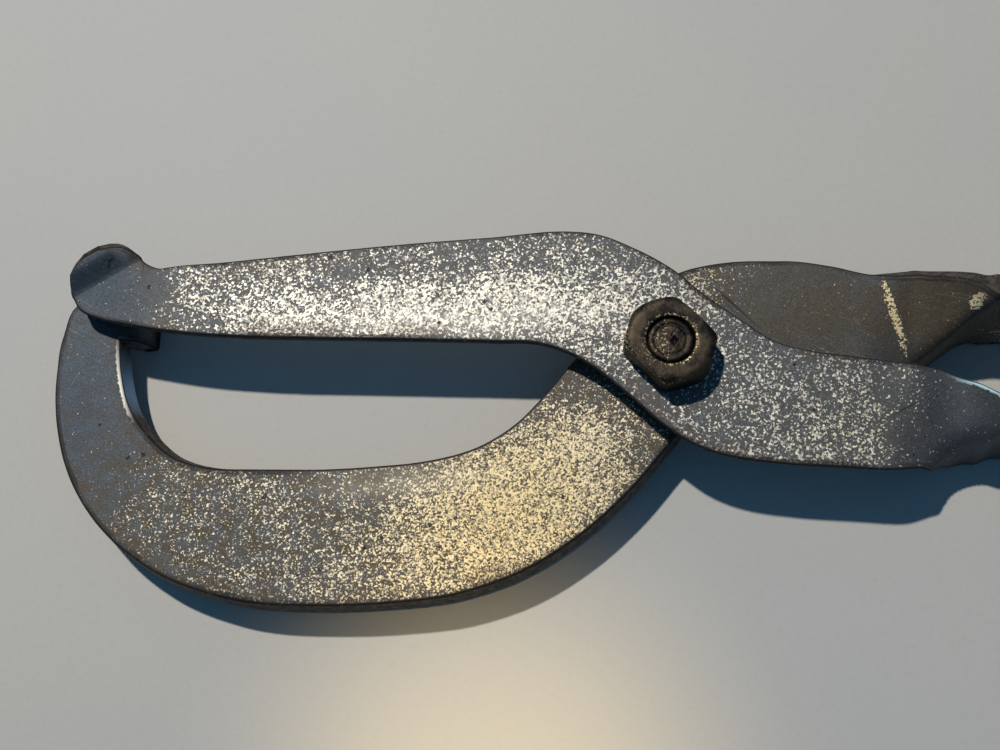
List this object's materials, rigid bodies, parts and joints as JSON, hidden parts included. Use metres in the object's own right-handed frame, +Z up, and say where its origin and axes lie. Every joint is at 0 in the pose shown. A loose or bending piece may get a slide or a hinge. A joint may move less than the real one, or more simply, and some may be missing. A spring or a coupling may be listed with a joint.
{
  "type": "drum brake spring pliers",
  "caption": "Flat steel brake spring pliers: a straight jaw with an upturned spur crosses a C-shaped jaw with a down-turned finger on one bolt; handles twist edge-on.",
  "frame": {"origin": "on the pivot axis, at the underside of the bolt head", "axes": "+X towards the handle ends, +Y towards the straight jaw's side, +Z up through the bolt towards the nut"},
  "size_m": [0.3444, 0.0696, 0.0199],
  "materials": {
    "claw_arm_steel": "worn bare steel, fine sparkle, straw-brown tint",
    "hook_arm_steel": "worn bare steel, fine sparkle",
    "pivot_steel": "dark oxide, rubbed at the edges"
  },
  "bodies": {
    "claw_arm": {"claw_arm": "claw_arm_steel", "pivot_bolt": "pivot_steel", "pivot_nut": "pivot_steel"},
    "hook_arm": {"hook_arm": "hook_arm_steel"}
  },
  "joints": [
    {"name": "pivot", "type": "hinge", "parent": "claw_arm", "child": "hook_arm", "pos_m": [0, 0, 0.012], "axis": [0, 0, -1], "range_deg": [0, 35]}
  ]
}
